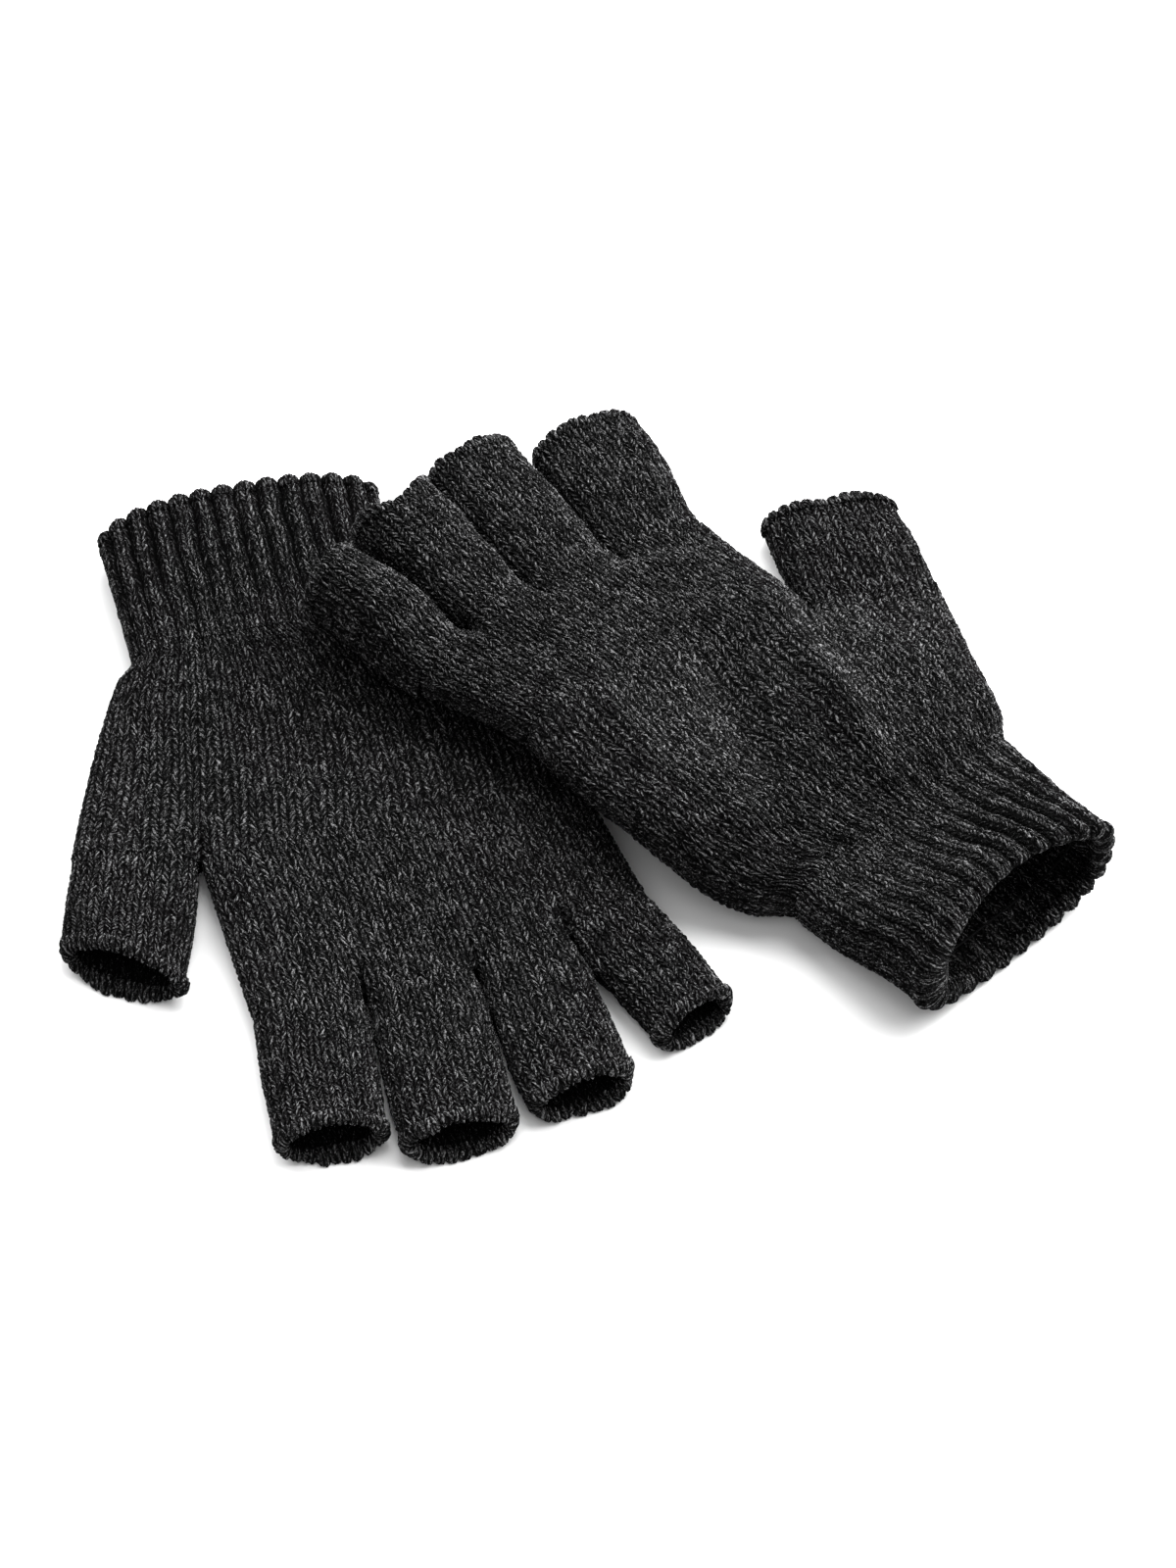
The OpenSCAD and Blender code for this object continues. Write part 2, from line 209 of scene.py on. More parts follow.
# Slow unevenness of the upper side: height, length in x and in y
SWELLS = ((0.55, 17, 21), (0.25, 7, 9))
CREASE_FROM = 0.6  # twice the share of the hand's height above which there are creases
CREASE_START = 8.0  # length over which they begin at the wrist, and beside the thumb
CREASE_END = 14.0  # length over which they end at the stalls, and before the thumb's crotch
CREASE_STOP = 2.0  # how far short of the stalls they end
# Creases in the upper side: middle x, y, direction, half length, half width, height
CREASES = {
    "lower": (
        (20, 18, 70, 16, 6, 0.6),
        (-20, 30, 80, 22, 9, 0.6),
        (2, 40, 85, 24, 8, -0.5),
    ),
    "upper": (
        (7, 36, 83, 26, 5.5, 5.4),
        (-17, 40, 72, 24, 8, -6.2),
        (-42, 52, 80, 18, 7, 3.0),
        (-27, 17, 20, 10, 5, 3.0),
        (-4, 93, -10, 12, 3.5, 3.2),
    ),
}
STALL_SWELL = (0.22, 4, 9)  # slow unevenness of a stall: height, length in columns, length in mm
SKIN_DROP = 0.1  # how far a stall's skin sinks, to make room for that

# The cuff
CUFF_FLARE = {"lower": 2.0, "upper": 0.0}  # how much wider the mouth is at its thumb side
# How far its lip is pulled back on top and reaches out underneath, and its corners are pulled back
CUFF_LIP = {"lower": (-1.8, 1.8, 3.2), "upper": (4.5, 1.6, 0.0)}
THUMB_LIP = {"lower": 0.0, "upper": 3.0}  # how far the lip's top reaches out at its thumb side
THUMB_LIP_FROM = (0.1, 0.6)  # where that begins and over what length, as shares of half the mouth's width
CUFF_LIP_FROM = 12.0  # distance from the wrist where the shape of the mouth begins
CUFF_WIDEST = 1.2  # what lies further out counts as here, as a share of half the mouth's width
CUFF_CORNER_POWER = 4  # how sharp its corners are
RIB_DEPTH = {"lower": 1.75, "upper": 2.3}
RIB_FAINT = {"lower": 0.0, "upper": 0.6}  # how faint the ribs are at the little finger's side
RIB_UNDER = 0.35  # how much shallower the ribs are underneath
RIB_UNEVEN = 0.15  # how much their depth varies
RIB_SPEED = 1.4  # how fast they deepen along the cuff
# As shares of the way round, from the little finger's side over the top: where its faint ribs begin to
# grow full and over what length, where they begin to grow faint again, and where they are shallower
FAINT_TOP = (0.13, 0.20)
FAINT_SIDE = (0.93, 0.07)
UNDER_FROM, UNDER_FADE = 0.5, 0.06
LIP_THICK = 1.2  # thickness of the lip, as a share of the welt
LIP_BULGE = {"lower": (0.5, 0.0), "upper": (2.2, 0.7)}  # added at its low-x and its high-x corner
LIP_CURL = 0.45  # how far the lip stands out from the cuff
LIP_REACH = (0.75, 0.4)  # how far it reaches along the cuff, in welts: its least, and more where thick
ROLL_LEAST = 0.5  # thinnest that the lip gets
# How a groove's depth at the lip shows there, as shares: inwards, thinner, shorter, and darker with painted
# shade
DIP_INWARDS, DIP_THINNER, DIP_SHORTER, DIP_PAINTED_SHADE = 0.6, 0.4, 0.5, 0.8

ALONG = np.array([0, 1, 0])  # from the wrist to the fingers, in a glove's own directions


# ---- Small maths ----

def smooth(t):
    u = np.clip(t, 0, 1)
    return u * u * (3 - 2 * u)


def sin_d(a):
    return math.sin(math.radians(a))


def cos_d(a):
    return math.cos(math.radians(a))


def tan_d(a):
    return math.tan(math.radians(a))


def turn_matrix(axis, degrees):
    c, s = cos_d(degrees), sin_d(degrees)
    return {
        "x": np.array([[1, 0, 0], [0, c, -s], [0, s, c]]),
        "y": np.array([[c, 0, s], [0, 1, 0], [-s, 0, c]]),
        "z": np.array([[c, -s, 0], [s, c, 0], [0, 0, 1]]),
    }[axis]


def placed(turn, at):
    m = np.eye(4)
    m[:3, :3] = turn
    m[:3, 3] = at
    return m


def apply(m, p):
    return p @ m[:3, :3].T + m[:3, 3]


def chance(i, j, seed):
    """A fixed number from 0 to 1 for each pair of whole numbers."""
    x = np.sin(i * 127.1 + j * 311.7 + seed * 74.7) * 43758.5453
    return x - np.floor(x)


def noise(x, y, seed, period=None):
    """Smooth noise from -1 to 1, which repeats in x after a whole number of steps."""
    ix, iy = np.floor(x), np.floor(y)
    fx, fy = smooth(x - ix), smooth(y - iy)

    def corner(dx, dy):
        cx = ix + dx
        return chance(cx % period if period else cx, iy + dy, seed)

    low = corner(0, 0) * (1 - fx) + corner(1, 0) * fx
    high = corner(0, 1) * (1 - fx) + corner(1, 1) * fx
    return 2 * (low * (1 - fy) + high * fy) - 1


# ---- Where things are on a glove, as in the CAD model ----

def full_width(flat, h):
    return flat - GIRTH_LOSS * (h - FLAT_H)


def stall_width(g, f):
    return full_width(FLAT_WIDTH[f], g["stall_h"][f])


def corner(g, k):
    if k == 0:
        return np.array(g["knuckle"])
    s = SPLAY[k - 1]
    return corner(g, k - 1) + stall_width(g, k - 1) * np.array([-cos_d(s), sin_d(s)])


def root(g, f):
    if f == THUMB:
        s = SPLAY[THUMB]
        return np.array(g["crotch"]) + stall_width(g, f) / 2 * np.array([cos_d(s), -sin_d(s)])
    return (corner(g, f) + corner(g, f + 1)) / 2


def root_line(g, f, x):
    c = root(g, f)
    return c[1] - (x - c[0]) * tan_d(SPLAY[f])


def knuckle_line(g, x):
    return np.min([root_line(g, f, x) for f in range(THUMB)], axis=0)


def crotch_line(g, x):
    return np.minimum(g["crotch"][1], root_line(g, THUMB, x))


def wrist_line(g, x):
    return x * tan_d(g["cuff_turn"])


def underside(g, x, y):
    return tan_d(g["roll"]) * smooth(y / CLIMB_LEN) * np.maximum(0, WRIST_W / 2 - x)


def front_h(g):
    return (g["palm_h"] + g["knuckle_h"]) / 2


def palm_height(g, v):
    if v < 0.5:
        return g["wrist_h"] + (g["palm_h"] - g["wrist_h"]) * smooth(2 * v)
    return g["palm_h"] + (front_h(g) - g["palm_h"]) * smooth(2 * v - 1)


def palm_sides(g, v):
    half = full_width(WRIST_W, palm_height(g, v)) / 2
    wider = WRIST_BULGE[g["name"]] * float(smooth(1 - v / WRIST_BULGE_END[0]))
    end = g["crotch"][0] + stall_width(g, THUMB) * cos_d(SPLAY[THUMB]) + THUMB_BULGE[g["name"]]
    leave = float(smooth(SHOULDER_STEP + v / SHOULDER)) if v > 0 else 0.0
    return (
        -half - HEEL_FLARE * sin_d(90 * v ** g["heel"]) * leave,
        half + wider + (end - half) * v ** THUMB_SIDE_CURVE * leave,
    )


def cuff_h(g, v):
    return g["wrist_h"] + (g["mouth_h"] - g["wrist_h"]) * float(smooth(v))


def cuff_width(g, v):
    return full_width(WRIST_W + (g["mouth_w"] - WRIST_W) * v, cuff_h(g, v))


def hand_matrix(g):
    return placed(turn_matrix("z", g["turn"]), (*g["at"], 0))


def cuff_matrix(g):
    return hand_matrix(g) @ placed(turn_matrix("z", g["cuff_turn"]), (0, 0, 0))


def stall_matrix(g, f):
    c = root(g, f)
    lean = 0 if f == THUMB else g["roll"]
    turn = turn_matrix("z", -SPLAY[f]) @ turn_matrix("y", lean) @ turn_matrix("x", g["pitch"][f])
    return hand_matrix(g) @ placed(turn, (*c, float(underside(g, *c)) + g["stall_h"][f]))


# ---- Sections of a soft tube ----

def swell(xi, power):
    """Share of a section's half height at xi, from -1 to 1 across it."""
    return np.maximum(0, 1 - np.abs(xi) ** power) ** (1 / power)


def divide(x, top, bottom, shares, spread=None):
    """Points of a closed loop at even shares of its length, from the low-x side over the top.
    spread is another pair of top and bottom heights, whose length counts instead."""
    xs = np.concatenate([x, x[-2:0:-1], x[:1]])
    zs = np.concatenate([top, bottom[-2:0:-1], top[:1]])
    if spread is None:
        ls = zs
    else:
        ls = np.concatenate([spread[0], spread[1][-2:0:-1], spread[0][:1]])
    run = np.concatenate([[0], np.cumsum(np.hypot(np.diff(xs), np.diff(ls)))])
    at = shares * run[-1]
    return np.interp(at, run, xs), np.interp(at, run, zs)


def oval(x0, x1, h, power_top, power_under, shares):
    """One section of a tube. power_top is how square its top is, at its low-x and its high-x side."""
    tau = np.linspace(0, math.pi, FINE)
    xi = -np.cos(tau)
    x = (x0 + x1) / 2 + (x1 - x0) / 2 * xi
    power_top = np.where(xi < 0, *power_top)
    return divide(x, h / 2 + h / 2 * swell(xi, power_top), h / 2 - h / 2 * swell(xi, power_under), shares)


def tubes_at(tubes, t):
    """Upper and lower half heights and middle height of the row of tubes that a hand section ends in,
    at t, from 0 to 1 across the section."""
    top, under, middle = np.zeros_like(t), np.zeros_like(t), np.zeros_like(t)
    first, last = tubes[0][0], tubes[-1][1]
    for x0, x1, h, power_top, power_under in tubes:
        x = first + t * (last - first)
        here = (x >= x0 - 1e-6) & (x <= x1 + 1e-6)
        xi = np.clip((2 * x - x0 - x1) / (x1 - x0), -1, 1)
        top = np.where(here, np.maximum(top, h / 2 * swell(xi, power_top)), top)
        under = np.where(here, np.maximum(under, h / 2 * swell(xi, power_under)), under)
        middle = np.where(here, h / 2, middle)
    return top, under, middle


def hand_row(x0, x1, h, tubes, near_end, near_height, shares):
    """One section of the hand as x and height above the underside. near_end and near_height, from 0 to 1,
    are how far it has taken the shape and the heights of the tubes that it ends in."""
    tau = np.linspace(0, math.pi, FINE)
    xi = -np.cos(tau)
    x = (x0 + x1) / 2 + (x1 - x0) / 2 * xi
    first, last = tubes[0][0], tubes[-1][1]
    middles = [((x0 + x1) / 2 - first) / (last - first) for x0, x1, _, _, _ in tubes]
    h = h + near_height * (np.interp((xi + 1) / 2, middles, [tube[2] for tube in tubes]) - h)
    top, under = h / 2 * swell(xi, HAND_TOP), h / 2 * swell(xi, HAND_UNDER)
    middle = h / 2
    spread = (middle + top, middle - under)
    if near_end > 0:
        end_top, end_under, end_middle = tubes_at(tubes, (xi + 1) / 2)
        top = top + near_end * (end_top - top)
        under = under + near_end * (end_under - under)
        middle = middle + near_end * (end_middle - middle)
    return divide(x, middle + top, middle - under, shares, spread)


# ---- Relief of the knit ----

def jitter(u, v, period, seed):
    """Moves stitches a little off their even places."""
    half = period // 2
    across_alone, across_wave = STRAY_ACROSS
    along_alone, along_wave = STRAY_ALONG
    strayed_u = u + across_alone * noise(u, v * 0.7, seed, period)
    strayed_u = strayed_u + across_wave * noise(u * 0.5, v * 0.25, seed + 1, half)
    strayed_v = v + along_wave * noise(u * 0.5, v * 0.8, seed + 2, half)
    strayed_v = strayed_v + along_alone * noise(u, v * 0.4, seed + 3, period)
    return strayed_u, strayed_v


def stitch_relief(u, v, period, seed, depth):
    """Height of V-shaped stitches, from -depth in the gaps to a little over zero."""
    column = np.floor(u)
    across = 2 * (u - column) - 1
    out = np.abs(across)
    rise = v - LEAN * out
    row = np.floor(rise)
    b = 2 * (rise - row) - 1
    leg = 2 * (column % period) + (across > 0)
    body = np.sqrt(np.maximum(0, 1 - b * b)) * np.sqrt(np.maximum(0, 1 - LEG_FALL * (2 * out - 1) ** 2))
    size = LEG_SIZES[0] + LEG_SIZES[1] * chance(leg, row, seed)
    return depth * (body * size - 1)


def rib_relief(u, depth, wales=CUFF_WALES):
    """Height of the ribs: 0 along the middle of each, and minus the depth in the grooves between them."""
    share = u * RIBS / wales
    across = 2 * (share - np.floor(share)) - 1
    return -depth * np.abs(across) ** RIB_ROUND


# ---- Mesh making ----

def normals_of(p):
    """Outward unit normals of a grid whose rows run along the tube and whose columns go round it."""
    around = np.roll(p, -1, 1) - np.roll(p, 1, 1)
    along = np.gradient(p, axis=0)
    n = np.cross(around, along)
    return n / np.maximum(np.linalg.norm(n, axis=2, keepdims=True), 1e-9)


def knit_mesh(name, grids, grooves=None):
    """One mesh from closed grids. Each is (points, u, v, period), and its rows close on themselves, as its
    columns do. grooves is the depth of the grooves at each point, which the material paints as shade."""
    verts, faces, uvs = [], [], []
    base = 0
    for p, u, v, period in grids:
        rows, cols = p.shape[:2]
        verts.append(p.reshape(-1, 3) * MM)
        r, c = np.meshgrid(np.arange(rows), np.arange(cols), indexing="ij")
        r2, c2 = (r + 1) % rows, (c + 1) % cols
        quads = np.stack([r * cols + c, r * cols + c2, r2 * cols + c2, r2 * cols + c], -1)
        faces.append(base + quads.reshape(-1, 4))
        turn = (c2 == 0) * period
        us = np.stack([u[r, c], u[r, c2] + turn, u[r2, c2] + turn, u[r2, c]], -1)
        vs = np.stack([v[r, c], v[r, c2], v[r2, c2], v[r2, c]], -1)
        uvs.append(np.stack([us, vs], -1).reshape(-1, 2))
        base += rows * cols
    verts, faces, uvs = np.concatenate(verts), np.concatenate(faces), np.concatenate(uvs)
    mesh = bpy.data.meshes.new(name)
    mesh.vertices.add(len(verts))
    mesh.vertices.foreach_set("co", verts.astype(np.float32).ravel())
    mesh.loops.add(faces.size)
    mesh.loops.foreach_set("vertex_index", faces.astype(np.int32).ravel())
    mesh.polygons.add(len(faces))
    mesh.polygons.foreach_set("loop_start", np.arange(0, faces.size, 4, dtype=np.int32))
    mesh.polygons.foreach_set("use_smooth", np.ones(len(faces), bool))
    mesh.uv_layers.new(name="knit").data.foreach_set("uv", uvs.astype(np.float32).ravel())
    if grooves is not None:
        depth = mesh.attributes.new("groove", "FLOAT", "POINT")
        depth.data.foreach_set("value", grooves.astype(np.float32).ravel())
    mesh.update(calc_edges=True)
    mesh.validate()
    obj = bpy.data.objects.new(name, mesh)
    bpy.context.scene.collection.objects.link(obj)
    return obj


def columns(wales, top, under):
    """Places round a loop in wales: more of them over the top than under it."""
    half = wales // 2
    return np.concatenate([
        np.arange(0, half, 1 / top),
        np.arange(half, wales, 1 / under),
    ])


def shell(outer, u, v, period, relief, wall, inner_rows, grooves=None):
    """Closes an outer skin and a coarser lining into one grid. outer is the skin without its relief."""
    n = normals_of(outer)
    skin = outer + n * relief[..., None]
    pick = np.linspace(len(outer) - 1, 0, inner_rows).round().astype(int)
    waves = 0.5 + 0.5 * np.sin(2 * math.pi * v[pick]) * np.cos(2 * math.pi * u[pick])
    lining = wall - LINING_RELIEF * waves
    if grooves is not None:
        # the back of a groove is a ridge inside
        lining = lining - LINING_RIBS - LINING_SHARE * grooves[pick]
    inside = outer[pick] - n[pick] * lining[..., None]
    return (
        np.concatenate([skin, inside]),
        np.concatenate([u, u[pick]]),
        np.concatenate([v, v[pick] + INSIDE]),
        period,
    )


def groove_depths(grooves, inner_rows):
    """Depths of the grooves at a shell's points, which the material paints as shade. Inside, the grooves are
    the backs of the ribs, and the shade is painted in the gaps behind them.
    """
    pick = np.linspace(len(grooves) - 1, 0, inner_rows).round().astype(int)
    inside = np.maximum(0, LINING_RIBS + BACK_SHARE * grooves[pick])
    return np.concatenate([-grooves, BACK_PAINTED_SHADE * inside])


def grid_coords(rows_v, cols_u, period, seed):
    v, u = np.meshgrid(rows_v, cols_u, indexing="ij")
    return jitter(u, v, period, seed)


# ---- The pieces ----

def drape(g, x, y, top_share):
    """Soft unevenness of the hand's upper side, in mm. top_share is 1 on top and 0 underneath."""
    rough = 0
    for i, (height, length_x, length_y) in enumerate(SWELLS):
        rough = rough + height * noise(x / length_x, y / length_y, g["seed"] + 20 + i)
    for cx, cy, angle, length, width, height in CREASES[g["name"]]:
        dx, dy = x - cx, y - cy
        along = dx * cos_d(angle) + dy * sin_d(angle)
        across = -dx * sin_d(angle) + dy * cos_d(angle)
        rough = rough + height * np.exp(-(along / length) ** 2 - (across / width) ** 2)
    return rough * top_share


def hand_skin(g, rows, cols, period, sides, height, lines, tubes, creased):
    """Smooth grid of a stretch of the hand. lines(x) gives its first and last y. creased(x, start, end)
    is the share of the creases there, from the lengths to its start and its end."""
    length = abs(lines(np.zeros(1))[1][0] - lines(np.zeros(1))[0][0])
    out = np.zeros((len(rows), len(cols), 3))
    shares = cols / period
    for i, v in enumerate(rows):
        near = float(smooth(1 - (1 - v) * length / CROTCH_LEN))
        near_height = float(smooth(1 - (1 - v) * length / HEIGHT_LEN))
        h = float(height(v))
        x, z = hand_row(*sides(v), h, tubes, near, near_height, shares)
        start, end = lines(x)
        y = start + v * (end - start)
        top_share = smooth(z / h * 2 - CREASE_FROM) * creased(x, v * length, (1 - v) * length)
        z = z + underside(g, x, y) + drape(g, x, y, top_share)
        out[i] = np.stack([x, y, z], -1)
    return apply(hand_matrix(g), out)


def row_steps(length, samples):
    courses = max(1, round(length / COURSE))
    return np.linspace(0, 1, courses * samples + 1), courses


def beside_thumb(g, x):
    """1 over the back of the hand and 0 over the thumb's root."""
    return smooth((g["crotch"][0] - x) / CREASE_START)


def palm(g):
    def creased(x, start, end):
        return smooth(start / CREASE_START) * np.maximum(beside_thumb(g, x), smooth(end / CREASE_END))

    rows, courses = row_steps(g["crotch"][1], PALM_SAMPLES[2])
    cols = columns(PALM_WALES, *PALM_SAMPLES[:2])
    back = (palm_sides(g, 1)[0], g["crotch"][0], front_h(g), HAND_TOP, HAND_UNDER)
    thumb = (g["crotch"][0], palm_sides(g, 1)[1], g["stall_h"][THUMB], STALL_TOP, STALL_UNDER)
    smooth_skin = hand_skin(
        g, rows, cols, PALM_WALES, lambda v: palm_sides(g, v), lambda v: palm_height(g, v),
        lambda x: (wrist_line(g, x), crotch_line(g, x)), (back, thumb), creased,
    )
    u, v = grid_coords(rows * courses, cols, PALM_WALES, g["seed"])
    fade = smooth(1 - rows * g["crotch"][1] / WRIST_GROOVE_LEN)[:, None]
    grooves = rib_relief(u, WRIST_GROOVE * fade, PALM_WALES)
    relief = stitch_relief(u, v, PALM_WALES, g["seed"], STITCH_DEPTH) + grooves
    return knit_mesh(g["name"] + "_palm_knit", [
        shell(smooth_skin, u, v, PALM_WALES, relief, WALL, HAND_LINING)
    ], groove_depths(grooves, HAND_LINING))


def knuckles(g):
    def creased(x, start, end):
        ending = smooth((end - CREASE_STOP) / CREASE_END)
        return ending * np.maximum(beside_thumb(g, x), smooth(start / CREASE_END))

    back_y = g["crotch"][1]
    span = g["knuckle"][1] - back_y
    rows, courses = row_steps(span, KNUCKLE_SAMPLES[2])
    cols = columns(KNUCKLE_WALES, *KNUCKLE_SAMPLES[:2])
    start = (palm_sides(g, 1)[0], g["crotch"][0])
    end = (corner(g, 4)[0], corner(g, 0)[0])
    tubes = [
        (corner(g, f + 1)[0], corner(g, f)[0], g["stall_h"][f], STALL_TOP, STALL_UNDER)
        for f in (LITTLE, RING, MIDDLE, INDEX)
    ]
    smooth_skin = hand_skin(
        g, rows, cols, KNUCKLE_WALES,
        lambda v: (start[0] + (end[0] - start[0]) * v, start[1] + (end[1] - start[1]) * v),
        lambda v: front_h(g) + (g["knuckle_h"] - front_h(g)) * v,
        lambda x: (np.full_like(x, back_y), knuckle_line(g, x)), tubes, creased,
    )
    u, v = grid_coords(rows * courses, cols, KNUCKLE_WALES, g["seed"] + 5)
    relief = stitch_relief(u + 0.5, v, KNUCKLE_WALES, g["seed"] + 5, STITCH_DEPTH)
    return knit_mesh(g["name"] + "_knuckles_knit", [
        shell(smooth_skin, u + 0.5, v, KNUCKLE_WALES, relief, WALL, HAND_LINING)
    ])


def stall_wales(g, f):
    w, h = stall_width(g, f), g["stall_h"][f]
    return 2 * round((2 * (w - h) + math.pi * h) / WALE / 2)


def mouth_warp(g, f, p):
    """Pulls the top lip of a stall's mouth back and the bottom lip out, and slants the mouth."""
    length, h = STALL_LEN[f], g["stall_h"][f]
    x, y, z = p[..., 0], p[..., 1], p[..., 2]
    near = smooth((y - length * MOUTH_START) / (length * (1 - MOUTH_START)))
    down = np.clip(-z / h, 0, 1)
    low, high = (stall_width(g, f) / 2 + wider for wider in FLARE[g["name"]][f])
    xi = np.clip(np.where(x < 0, -x / low, x / high), 0, 1)
    bow = 1 - BOW_FALL * xi ** 2
    pull = bow * (LIP_OUT[g["name"]][f] * down - LIP_BACK[g["name"]][f] * (1 - down))
    pull = pull - CORNER_BACK[g["name"]][f] * xi ** CORNER_POWER
    if f == THUMB:
        slant_share = SLANT_UNDER + (1 - SLANT_UNDER) * (1 - down)
        pull = pull + tan_d(SLANT[g["name"]]) * x * slant_share
    return np.stack([x, y + near * pull, z], -1)


def root_swell(f, y):
    """How far a stall's low-x and high-x sides swell towards its neighbours near its root, where the knit
    between them is tight."""
    def towards(other):
        half_gap = y * abs(tan_d(SPLAY[f] - SPLAY[other])) / 2
        return TIGHT * half_gap * float(smooth(1 - (y - TIGHT_LEN) / TIGHT_LEN))

    low = towards(f + 1) if f < LITTLE else 0.0
    high = towards(f - 1) if INDEX < f < THUMB else 0.0
    return low, high


def stall_section(g, f, y, shares, inset=0.0):
    """Section of a stall at y, as x and z from the top of its root."""
    h = g["stall_h"][f]
    w = stall_width(g, f) - 2 * GAP
    near = float(smooth((y - STALL_LEN[f] * ROUND_FROM) / (STALL_LEN[f] * (1 - ROUND_FROM))))
    belly = STALL_BELLY * math.sin(math.pi * min(1, y / STALL_LEN[f])) ** 2
    top = STALL_TOP + (MOUTH_TOP - STALL_TOP) * near
    under = STALL_UNDER + (MOUTH_UNDER - STALL_UNDER) * near
    open_share = float(smooth(FLARE_SPEED * y / STALL_LEN[f]))
    low, high = (
        w / 2 + belly - inset + wider * open_share + near_root
        for wider, near_root in zip(FLARE[g["name"]][f], root_swell(f, y))
    )
    if f == THUMB:
        high += THUMB_BULGE[g["name"]] * (1 - open_share)
    x, z = oval(-low, high, h - 2 * inset, (top, top), under, shares)
    z = z * (1 + PUFF[g["name"]][f] / h * float(smooth(PUFF_SPEED * y / STALL_LEN[f])))
    return x, z - h + inset


def stall(g, f):
    span = STALL_LEN[f] - 2 * EDGE_R
    wales = stall_wales(g, f)
    rows, courses = row_steps(span, STALL_SAMPLES[1])
    cols = np.arange(0, wales, 1 / STALL_SAMPLES[0])
    seed = g["seed"] + 31 * (f + 1)
    skin = np.zeros((len(rows), len(cols), 3))
    for i, r in enumerate(rows):
        x, z = stall_section(g, f, r * span, cols / wales)
        skin[i] = loop_at(x, r * span, z)
    height, columns_long, length = STALL_SWELL
    soft = height * noise(
        cols[None, :] / columns_long, rows[:, None] * span / length, seed, wales // columns_long
    )
    u, v = grid_coords(rows * courses, cols, wales, seed)
    relief = stitch_relief(u, v, wales, seed, STITCH_DEPTH) + soft - SKIN_DROP
    skin = apply(stall_matrix(g, f), mouth_warp(g, f, skin))
    return knit_mesh("%s_%s_knit" % (g["name"], FINGERS[f]), [
        shell(skin, u, v, wales, relief, WALL, TUBE_LINING)
    ])


def rolled_ring(centre, out, radius, steps, free=None, joined=None, knit_side=-1):
    """A roll round a mouth: rows go round the roll, columns round the mouth. It is squarer on the side
    where it joins the knit. free and joined are its half lengths on its two sides, which are its radius
    unless they are given."""
    theta = math.pi + np.linspace(0, 2 * math.pi, steps, endpoint=False)[:, None]
    c, s = np.cos(theta), np.sin(theta)
    at_knit = s * knit_side > 0
    power = np.where(at_knit, JOINED_POWER, FREE_POWER)
    square = (np.abs(c) ** power + np.abs(s) ** power) ** (-1 / power)
    free = radius if free is None else free
    joined = radius if joined is None else joined
    reach = np.where(at_knit, joined, free) * square * s
    return centre[None] + (radius * square * c)[..., None] * out[None] + reach[..., None] * ALONG


def loop_at(x, y, z):
    """Points of a section's loop, y along the tube."""
    return np.stack([x, np.full_like(x, y), z], -1)


def loop_normals(x, z):
    tx, tz = np.roll(x, -1) - np.roll(x, 1), np.roll(z, -1) - np.roll(z, 1)
    n = np.stack([-tz, np.zeros_like(x), tx], -1)
    return n / np.maximum(np.linalg.norm(n, axis=1, keepdims=True), 1e-9)


def stall_edge(g, f):
    wales = stall_wales(g, f)
    seed = g["seed"] + 31 * (f + 1)
    samples, steps = EDGE_SAMPLES
    cols = np.arange(0, wales, 1 / samples)
    y = STALL_LEN[f] - EDGE_R
    x, z = stall_section(g, f, y, cols / wales)
    out = loop_normals(x, z)
    # the roll is thickest at the mouth's two corners
    thick = 1 + CORNER_ROLL * np.abs(2 * (x - x.mean()) / (x.max() - x.min())) ** 4
    centre = loop_at(x, y, z) - out * (EDGE_R * thick - CURL)[:, None]
    u, v = np.meshgrid(cols, np.arange(steps) / steps, indexing="xy")
    u = u + ROLL_WANDER[0] * noise(u * 0.5, v * 3, seed + 7, wales // 2)
    v = v + ROLL_WANDER[1] * noise(u, v * 0, seed + 8, wales)
    size = LUMP_SIZES[0] + LUMP_SIZES[1] * chance(np.floor(u) % wales, 0 * u, seed)
    lump = np.abs(np.sin(math.pi * u)) ** LUMP_ROUND * size
    stitches = stitch_relief(u, v * EDGE_COURSES, wales, seed + 1, EDGE_STITCHES)
    loose = LOOSE * noise(u * 0.5, v * 0, seed + 4, wales // 2)
    stitch_share = LUMP_GAP_STITCHES + (1 - LUMP_GAP_STITCHES) * lump
    radius = EDGE_R * thick + stitches * stitch_share + loose + LUMP_RISE * (lump - 0.5)
    free = EDGE_R + LUMP_REACH * lump - LUMP_RISE + 2 * loose + stitches * FREE_STITCHES
    p = rolled_ring(centre, out, radius, steps, free, np.full_like(radius, EDGE_R + EDGE_OVERLAP))
    p = apply(stall_matrix(g, f), mouth_warp(g, f, p))
    return knit_mesh("%s_%s_edge_knit" % (g["name"], FINGERS[f]), [(p, u, v * EDGE_COURSES, wales)])


def cuff_power(g, v):
    """How square the cuff's section is, from the wrist at 0 to the mouth at 1: the two sides of its top,
    and its underside."""
    k = float(smooth(v))
    low, high = g["mouth_round"]
    return (
        (HAND_TOP + (low - HAND_TOP) * k, HAND_TOP + (high - HAND_TOP) * k),
        HAND_UNDER + (high + CUFF_UNDER_MORE - HAND_UNDER) * k,
    )


def cuff_section(g, v, shares, inset=0.0):
    h, w = cuff_h(g, v), cuff_width(g, v)
    wider = CUFF_FLARE[g["name"]] * float(smooth(v))
    wider = wider + WRIST_BULGE[g["name"]] * float(smooth(1 - v / WRIST_BULGE_END[1]))
    x, z = oval(-w / 2 + inset, w / 2 + wider - inset, h - 2 * inset, *cuff_power(g, v), shares)
    return x, z + inset


